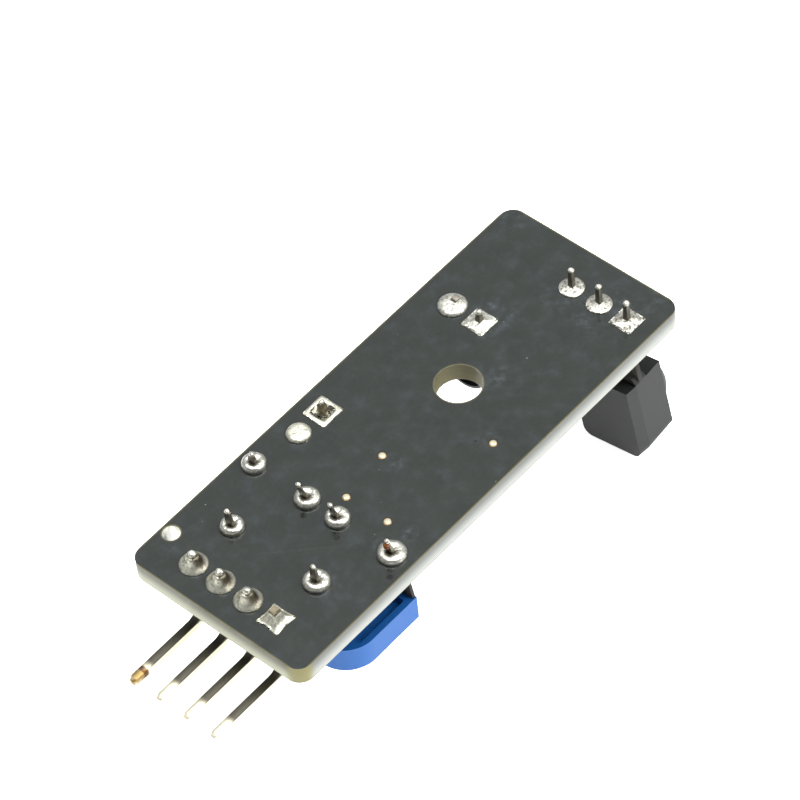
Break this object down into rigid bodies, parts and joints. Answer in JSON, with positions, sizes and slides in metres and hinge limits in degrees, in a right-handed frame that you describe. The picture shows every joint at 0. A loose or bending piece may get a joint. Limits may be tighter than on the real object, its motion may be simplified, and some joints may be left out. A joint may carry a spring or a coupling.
{
  "type": "infrared obstacle sensor module",
  "caption": "Small black circuit board with an infrared emitter in a sleeve, a leaded receiver, blue trimmers, a bent pin header and a mounting hole.",
  "frame": {"origin": "centre of the mounting hole on the solder face", "axes": "+Z out of the solder face, +X along the board towards the emitter and receiver"},
  "size_m": [0.0468, 0.016, 0.0156],
  "materials": {
    "board_mask": "black solder mask over glass-fibre board, satin",
    "pin_plastic": "moulded black plastic",
    "pin_metal": "bright tin over brass",
    "trimmer_blue": "moulded blue plastic, slight sheen",
    "track_ceramic": "white plate with a dark resistor track",
    "rotor_cream": "moulded cream plastic",
    "contact_metal": "stamped and tinned sheet",
    "emitter_epoxy": "cast epoxy, glossy, faint blue",
    "sleeve_black": "black shrink sleeve, satin",
    "receiver_epoxy": "moulded black epoxy, satin",
    "tinned_lead": "bright tin",
    "cap_plastic": "moulded black plastic",
    "clip_brass": "spring brass",
    "chip_epoxy": "moulded black epoxy",
    "resistor_ceramic": "dark glazed film over white ceramic",
    "capacitor_ceramic": "tan fired ceramic",
    "indicator_resin": "clear resin over a white base",
    "solder": "bright solder, slightly mottled"
  },
  "bodies": {
    "board": {"circuit_board": "board_mask", "header_block": "pin_plastic", "jumper_block": "pin_plastic", "emitter_lens": "emitter_epoxy", "emitter_sleeve": "sleeve_black", "receiver_body": "receiver_epoxy", "jumper_cap": "cap_plastic", "jumper_clip": "clip_brass", "timer_chip_body": "chip_epoxy", "timer_chip_leads": "tinned_lead", "resistor_bodies": "resistor_ceramic", "resistor_ends": "tinned_lead", "capacitor_bodies": "capacitor_ceramic", "capacitor_ends": "tinned_lead", "indicator_bodies": "indicator_resin", "indicator_ends": "tinned_lead", "header_pin_1": "pin_metal", "header_pin_2": "pin_metal", "header_pin_3": "pin_metal", "header_pin_4": "pin_metal", "jumper_pin_1": "pin_metal", "emitter_lead_1": "tinned_lead", "jumper_pin_2": "pin_metal", "emitter_lead_2": "tinned_lead", "receiver_lead_1": "tinned_lead", "receiver_lead_2": "tinned_lead", "receiver_lead_3": "tinned_lead", "trimmer_a_base": "trimmer_blue", "trimmer_a_track_plate": "track_ceramic", "trimmer_a_wiper_terminal": "contact_metal", "trimmer_a_end_terminal_1": "contact_metal", "trimmer_a_end_terminal_2": "contact_metal", "trimmer_b_base": "trimmer_blue", "trimmer_b_track_plate": "track_ceramic", "trimmer_b_wiper_terminal": "contact_metal", "trimmer_b_end_terminal_1": "contact_metal", "trimmer_b_end_terminal_2": "contact_metal", "solder_header": "solder", "solder_trimmer_a": "solder", "solder_trimmer_b": "solder", "solder_jumper": "solder", "solder_emitter": "solder", "solder_receiver": "solder"},
    "rotor_a": {"trimmer_a_rotor": "rotor_cream", "trimmer_a_wiper": "contact_metal"},
    "rotor_b": {"trimmer_b_rotor": "rotor_cream", "trimmer_b_wiper": "contact_metal"}
  },
  "joints": [
    {"name": "trimmer_a_turn", "type": "hinge", "parent": "board", "child": "rotor_a", "pos_m": [-0.01701, 0.00414, -0.0073], "axis": [0, 0, 1], "range_deg": [-115, 115]},
    {"name": "trimmer_b_turn", "type": "hinge", "parent": "board", "child": "rotor_b", "pos_m": [-0.01701, -0.00367, -0.0073], "axis": [0, 0, 1], "range_deg": [-115, 115]}
  ]
}
